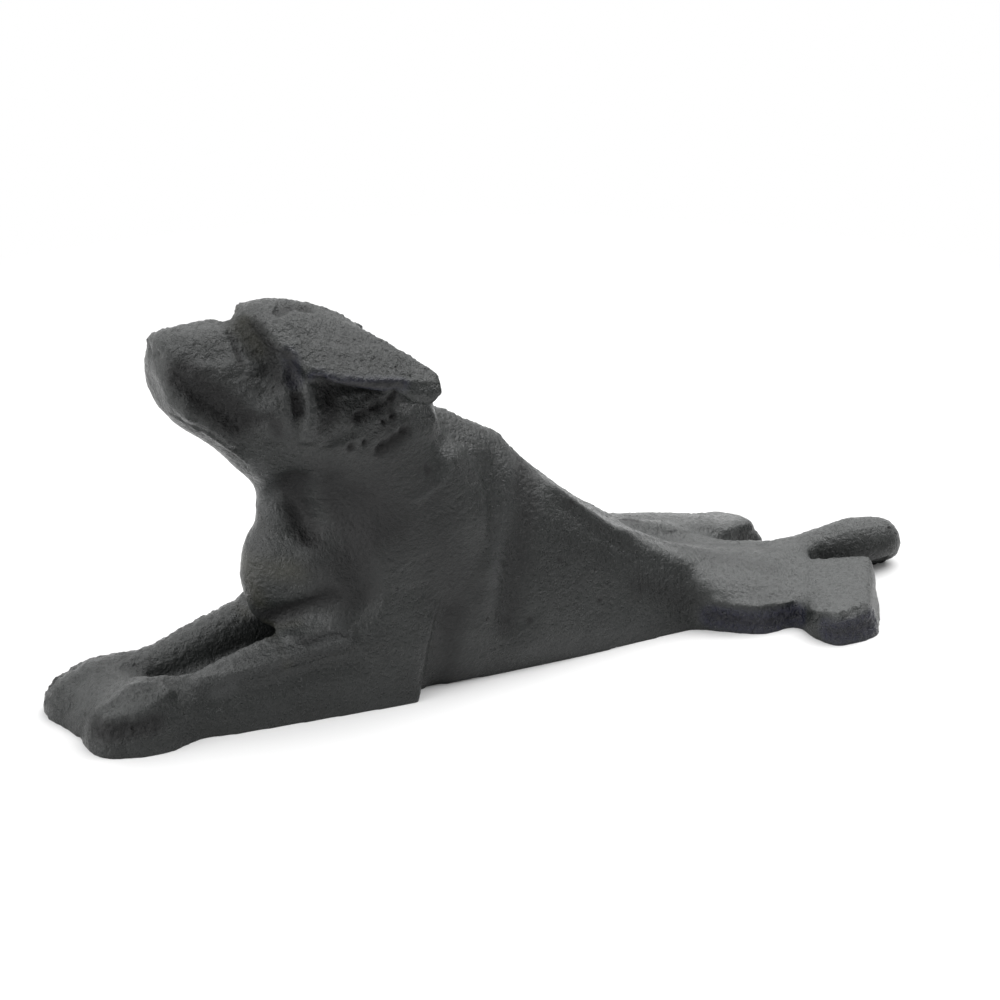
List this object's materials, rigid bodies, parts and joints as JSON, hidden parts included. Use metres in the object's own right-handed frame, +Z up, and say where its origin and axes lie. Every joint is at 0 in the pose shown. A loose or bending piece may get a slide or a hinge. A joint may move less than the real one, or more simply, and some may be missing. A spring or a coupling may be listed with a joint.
{
  "type": "doorstop",
  "caption": "Wedge doorstop cast as a lying dog with raised head, folded ears, stretched legs and a low tail end that slips under a door; flat underside.",
  "frame": {"origin": "centre of the bounding box's bottom face, on the flat underside that rests on the floor", "axes": "+X along the body from nose to tail, +Y from the dog's left side to its right side, +Z up"},
  "size_m": [0.18, 0.0628, 0.0797],
  "materials": {
    "black_painted_iron": "satin black paint over a pebbled sand-cast skin"
  },
  "bodies": {
    "root": {"dog_casting": "black_painted_iron"}
  },
  "joints": []
}
